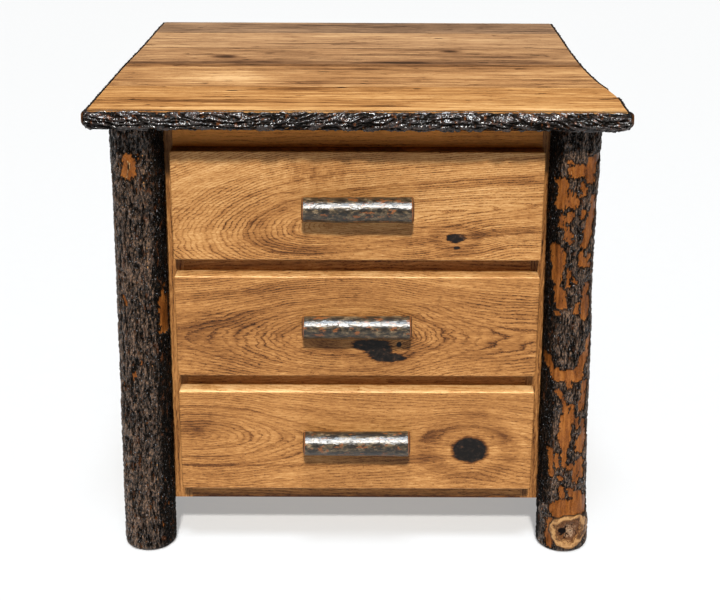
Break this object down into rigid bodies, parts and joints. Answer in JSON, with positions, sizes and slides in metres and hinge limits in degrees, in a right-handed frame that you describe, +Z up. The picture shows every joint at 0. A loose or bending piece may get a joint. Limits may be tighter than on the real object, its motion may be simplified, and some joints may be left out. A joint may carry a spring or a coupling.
{
  "type": "nightstand",
  "caption": "Rustic log nightstand with a live-edge plank top, bark-on log legs and stacked slide-out drawers with branch pulls.",
  "frame": {"origin": "on the floor under the middle of the top", "axes": "+X to the right seen from the front, +Y to the back, +Z up"},
  "size_m": [0.61, 0.56, 0.575],
  "materials": {
    "hickory": "satin lacquer over solid hickory",
    "bark": "lacquered dark bark",
    "branch_bark": "gloss lacquer over smooth branch bark",
    "inner_wood": "planed, unfinished",
    "drawer_maple": "clear matt lacquer",
    "plywood": "thin clear lacquer on veneer",
    "slide_steel": "zinc plated",
    "screw_steel": "zinc plated"
  },
  "bodies": {
    "case": {"top_board_front": "hickory", "top_board_second": "hickory", "top_board_middle": "hickory", "top_board_fourth": "hickory", "top_board_back": "hickory", "stile_left": "hickory", "stile_right": "hickory", "top_rail": "hickory", "mid_rail_upper": "hickory", "mid_rail_lower": "hickory", "bottom_rail": "hickory", "side_panel_left": "hickory", "side_panel_right": "hickory", "top_bark_front": "bark", "top_bark_left": "bark", "top_bark_right": "bark", "leg_front_left": "bark", "leg_front_right": "bark", "leg_back_left": "bark", "leg_back_right": "bark", "back_rail": "inner_wood", "top_cleats": "inner_wood", "slide_packers": "inner_wood", "back_panel": "plywood", "bottom_panel": "plywood", "leg_screws": "screw_steel", "top_screws": "screw_steel", "back_screws": "screw_steel", "slide_screws": "screw_steel", "slide_case_members": "slide_steel"},
    "drawer_top": {"drawer_top_front": "hickory", "drawer_top_pull": "branch_bark", "drawer_top_box_front": "drawer_maple", "drawer_top_box_back": "drawer_maple", "drawer_top_side_left": "drawer_maple", "drawer_top_side_right": "drawer_maple", "drawer_top_bottom": "plywood", "drawer_top_slide_inner": "slide_steel", "drawer_top_screws": "screw_steel"},
    "slide_top": {"drawer_top_slide_middle": "slide_steel"},
    "drawer_middle": {"drawer_middle_front": "hickory", "drawer_middle_pull": "branch_bark", "drawer_middle_box_front": "drawer_maple", "drawer_middle_box_back": "drawer_maple", "drawer_middle_side_left": "drawer_maple", "drawer_middle_side_right": "drawer_maple", "drawer_middle_bottom": "plywood", "drawer_middle_slide_inner": "slide_steel", "drawer_middle_screws": "screw_steel"},
    "slide_middle": {"drawer_middle_slide_middle": "slide_steel"},
    "drawer_bottom": {"drawer_bottom_front": "hickory", "drawer_bottom_pull": "branch_bark", "drawer_bottom_box_front": "drawer_maple", "drawer_bottom_box_back": "drawer_maple", "drawer_bottom_side_left": "drawer_maple", "drawer_bottom_side_right": "drawer_maple", "drawer_bottom_bottom": "plywood", "drawer_bottom_slide_inner": "slide_steel", "drawer_bottom_screws": "screw_steel"},
    "slide_bottom": {"drawer_bottom_slide_middle": "slide_steel"}
  },
  "joints": [
    {"name": "drawer_top_pull_out", "type": "slide", "parent": "case", "child": "drawer_top", "axis": [0, -1, 0], "range_m": [0, 0.34]},
    {"name": "slide_top_extend", "type": "slide", "parent": "case", "child": "slide_top", "axis": [0, -1, 0], "range_m": [0, 0.17]},
    {"name": "drawer_middle_pull_out", "type": "slide", "parent": "case", "child": "drawer_middle", "axis": [0, -1, 0], "range_m": [0, 0.34]},
    {"name": "slide_middle_extend", "type": "slide", "parent": "case", "child": "slide_middle", "axis": [0, -1, 0], "range_m": [0, 0.17]},
    {"name": "drawer_bottom_pull_out", "type": "slide", "parent": "case", "child": "drawer_bottom", "axis": [0, -1, 0], "range_m": [0, 0.34]},
    {"name": "slide_bottom_extend", "type": "slide", "parent": "case", "child": "slide_bottom", "axis": [0, -1, 0], "range_m": [0, 0.17]}
  ],
  "couplings": [
    {"joint": "slide_top_extend", "follows": "drawer_top_pull_out", "ratio": 0.5},
    {"joint": "slide_middle_extend", "follows": "drawer_middle_pull_out", "ratio": 0.5},
    {"joint": "slide_bottom_extend", "follows": "drawer_bottom_pull_out", "ratio": 0.5}
  ]
}
